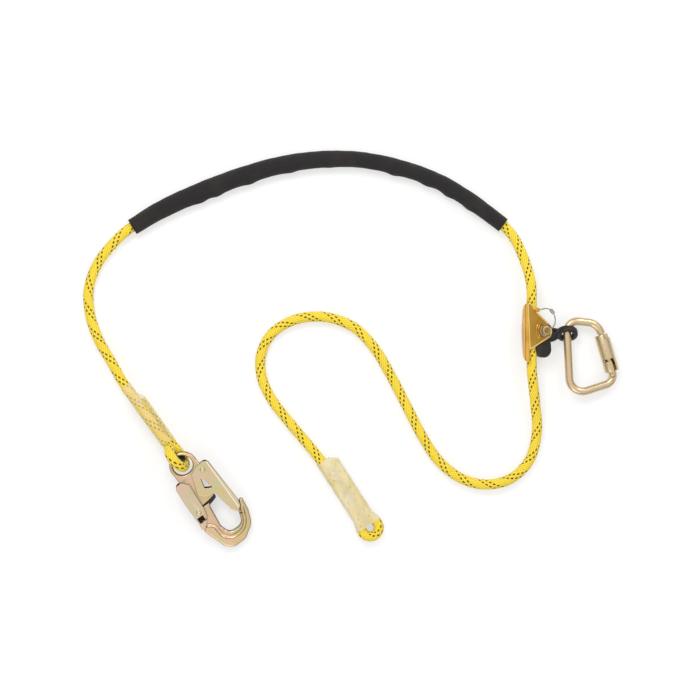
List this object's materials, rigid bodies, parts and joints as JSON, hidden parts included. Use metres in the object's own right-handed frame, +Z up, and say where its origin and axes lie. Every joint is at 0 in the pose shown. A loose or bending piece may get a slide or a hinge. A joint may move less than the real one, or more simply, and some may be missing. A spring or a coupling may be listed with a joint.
{
  "type": "tree climbing lanyard",
  "caption": "Rope lanyard with a double-action snap hook on one end, a rope grab with a twist-lock carabiner on its run, a chafe sleeve and a small stopper eye.",
  "frame": {"origin": "on the floor under the middle of the laid-out lanyard, its rope left out", "axes": "+Z up from the floor, +Y from the open side of the rope's arch toward the chafe sleeve, +X toward the rope grab and its carabiner"},
  "size_m": [0.6669, 0.4942, 0.0406],
  "materials": {
    "rope_yellow": "braided polyester sheath with dark tracers",
    "webbing_black": "tubular webbing",
    "shrink_clear": "translucent heat-shrink",
    "liner_black": "smooth",
    "chromate_steel": "yellow chromate plating",
    "bright_steel": "zinc plated",
    "wire_steel": "drawn wire",
    "gold_anodised": "anodised",
    "black_oxide": "black oxide",
    "bush_bronze": "plain"
  },
  "bodies": {
    "lanyard_rope": {"rope": "rope_yellow", "chafe_sleeve": "webbing_black", "hook_end_shrink": "shrink_clear", "stop_end_shrink": "shrink_clear", "hook_thimble": "liner_black"},
    "snap_hook": {"hook_body": "chromate_steel", "gate_rivet": "bright_steel", "lock_rivet": "bright_steel", "gate_spring": "wire_steel", "lock_spring": "wire_steel"},
    "hook_gate": {"hook_gate": "chromate_steel"},
    "lock_lever": {"lock_lever": "chromate_steel"},
    "rope_grab": {"grab_shell": "gold_anodised", "cable_anchor": "bright_steel", "pin_cable": "wire_steel", "cable_ferrule": "bright_steel"},
    "grab_cam": {"grab_cam": "black_oxide", "cam_bush": "bush_bronze"},
    "axle_pin": {"axle_pin": "bright_steel", "button_spring": "wire_steel"},
    "pin_button": {"pin_button": "black_oxide"},
    "pin_ball_left": {"pin_ball_left": "bright_steel"},
    "pin_ball_right": {"pin_ball_right": "bright_steel"},
    "carabiner": {"carabiner_frame": "chromate_steel", "gate_hinge_pin": "bright_steel"},
    "carabiner_gate": {"carabiner_gate": "chromate_steel", "barrel_guide_pin": "bright_steel", "barrel_spring": "wire_steel", "gate_plunger": "bright_steel", "plunger_spring": "wire_steel"},
    "barrel": {"barrel": "chromate_steel"}
  },
  "joints": [
    {"name": "hook_swing", "type": "hinge", "parent": "lanyard_rope", "child": "snap_hook", "pos_m": [-0.2304, -0.1454, 0.01895], "axis": [0.0687, -0.096, 0.993], "range_deg": [-40, 24]},
    {"name": "lock_squeeze", "type": "hinge", "parent": "snap_hook", "child": "lock_lever", "pos_m": [-0.21166, -0.20271, 0.01211], "axis": [-0.0687, 0.096, -0.993], "range_deg": [0, 8], "stiffness_Nm_per_rad": 0.8, "springref_deg": -10.03},
    {"name": "gate_open", "type": "hinge", "parent": "snap_hook", "child": "hook_gate", "pos_m": [-0.20689, -0.14912, 0.01696], "axis": [-0.0687, 0.096, -0.993], "range_deg": [0, 26], "stiffness_Nm_per_rad": 0.3, "springref_deg": -14.9},
    {"name": "grab_travel", "type": "slide", "parent": "lanyard_rope", "child": "rope_grab", "axis": [0, 1, 0], "range_m": [-0.008, 0.008]},
    {"name": "cam_pivot", "type": "hinge", "parent": "rope_grab", "child": "grab_cam", "pos_m": [0.21589, 0.02275, 0.01602], "axis": [0.309, 0, 0.9511], "range_deg": [0, 25]},
    {"name": "pin_pull", "type": "slide", "parent": "rope_grab", "child": "axle_pin", "axis": [0.309, 0, 0.9511], "range_m": [0, 0.026]},
    {"name": "button_press", "type": "slide", "parent": "axle_pin", "child": "pin_button", "axis": [-0.309, 0, -0.9511], "range_m": [0, 0.0014], "stiffness_N_per_m": 1500, "springref_m": -0.001, "deforming": ["button_spring"]},
    {"name": "ball_left_in", "type": "slide", "parent": "axle_pin", "child": "pin_ball_left", "axis": [0.9511, 0, -0.309], "range_m": [0, 0.00045]},
    {"name": "ball_right_in", "type": "slide", "parent": "axle_pin", "child": "pin_ball_right", "axis": [-0.9511, 0, 0.309], "range_m": [0, 0.00045]},
    {"name": "carabiner_swing", "type": "hinge", "parent": "grab_cam", "child": "carabiner", "pos_m": [0.2466, 0.0191, 0.01335], "axis": [0.0506, -0.9987, 0], "range_deg": [0, 40]},
    {"name": "carabiner_gate_open", "type": "hinge", "parent": "carabiner", "child": "carabiner_gate", "pos_m": [0.30418, -0.03156, 0.00898], "axis": [0.0792, 0.004, 0.9968], "range_deg": [0, 22], "stiffness_Nm_per_rad": 0.3, "springref_deg": -12.03},
    {"name": "barrel_twist", "type": "hinge", "parent": "carabiner_gate", "child": "barrel", "pos_m": [0.30418, -0.03156, 0.00898], "axis": [0.2799, -0.9598, -0.0184], "range_deg": [0, 75], "stiffness_Nm_per_rad": 0.05, "springref_deg": -25.21}
  ],
  "couplings": [
    {"joint": "gate_open", "follows": "lock_squeeze", "ratio": 3.25},
    {"joint": "ball_left_in", "follows": "button_press", "ratio": 0.32143},
    {"joint": "ball_right_in", "follows": "button_press", "ratio": 0.32143}
  ]
}
